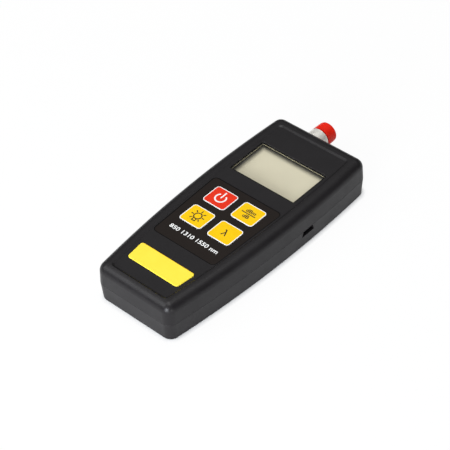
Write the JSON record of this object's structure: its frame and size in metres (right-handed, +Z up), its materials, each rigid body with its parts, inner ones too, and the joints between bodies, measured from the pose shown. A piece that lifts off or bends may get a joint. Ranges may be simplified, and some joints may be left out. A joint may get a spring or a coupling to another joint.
{
  "type": "optical power meter",
  "caption": "Handheld fibre optic power meter: bowed black casing, display window, keypad, name plate, USB socket in the side and a capped round fibre port on the end.",
  "frame": {"origin": "middle of the casing, without the port and its cap, on the flat back that the meter lies on", "axes": "+Y along the casing to the fibre port, +Z up out of the face, +X to the right of someone reading the face"},
  "size_m": [0.058, 0.1497, 0.021],
  "materials": {
    "shell_black": "fine-grained semi-matte moulding",
    "keypad_brown": "printed film, satin",
    "key_yellow": "satin print with a white border",
    "key_red": "satin print with a white border",
    "label_yellow": "domed clear resin",
    "lens_clear": "clear window",
    "display_glass": "reflective grey liquid crystal",
    "white_plastic": "white frame plastic",
    "light_guide_acrylic": "clear acrylic",
    "rubber_grey": "striped conductive rubber",
    "rubber_red": "soft moulded vinyl",
    "nickel": "nickel plate",
    "steel_plate": "stamped tin-plated steel",
    "screw_steel": "zinc-plated steel",
    "ceramic_white": "ground zirconia",
    "board_green": "solder-masked glass epoxy",
    "chip_black": "moulded epoxy",
    "contact_gold": "gold flash",
    "cell_silver": "laminated foil",
    "tape_white": "foam tape"
  },
  "bodies": {
    "casing": {"top_shell": "shell_black", "bottom_shell": "shell_black", "keypad_sheet": "keypad_brown", "name_label": "label_yellow", "window_lens": "lens_clear", "lcd_glass": "display_glass", "lcd_frame": "white_plastic", "light_guide": "light_guide_acrylic", "lcd_connector": "rubber_grey", "port_receptacle": "nickel", "port_ring_nut": "nickel", "alignment_sleeve": "ceramic_white", "photodiode": "nickel", "detector_board": "board_green", "circuit_board": "board_green", "processor_chip": "chip_black", "amplifier_chip": "chip_black", "charger_chip": "chip_black", "usb_socket": "steel_plate", "usb_tongue": "chip_black", "battery_cell": "cell_silver", "battery_tape": "tape_white", "battery_contact_block": "white_plastic", "battery_contacts": "contact_gold", "board_screws": "screw_steel", "case_screws": "screw_steel", "power_switch": "chip_black", "unit_switch": "chip_black", "backlight_switch": "chip_black", "wavelength_switch": "chip_black"},
    "power_button": {"power_key": "key_red", "power_switch_stem": "white_plastic"},
    "unit_button": {"unit_key": "key_yellow", "unit_switch_stem": "white_plastic"},
    "backlight_button": {"backlight_key": "key_yellow", "backlight_switch_stem": "white_plastic"},
    "wavelength_button": {"wavelength_key": "key_yellow", "wavelength_switch_stem": "white_plastic"},
    "cap": {"dust_cap": "rubber_red"}
  },
  "joints": [
    {"name": "power_press", "type": "slide", "parent": "casing", "child": "power_button", "axis": [0, 0, -1], "range_m": [0, 0.0004], "stiffness_N_per_m": 1500, "springref_m": -0.0004},
    {"name": "unit_press", "type": "slide", "parent": "casing", "child": "unit_button", "axis": [0, 0, -1], "range_m": [0, 0.0004], "stiffness_N_per_m": 1500, "springref_m": -0.0004},
    {"name": "backlight_press", "type": "slide", "parent": "casing", "child": "backlight_button", "axis": [0, 0, -1], "range_m": [0, 0.0004], "stiffness_N_per_m": 1500, "springref_m": -0.0004},
    {"name": "wavelength_press", "type": "slide", "parent": "casing", "child": "wavelength_button", "axis": [0, 0, -1], "range_m": [0, 0.0004], "stiffness_N_per_m": 1500, "springref_m": -0.0004},
    {"name": "cap_pull", "type": "slide", "parent": "casing", "child": "cap", "axis": [0, 1, 0], "range_m": [0, 0.04]}
  ]
}
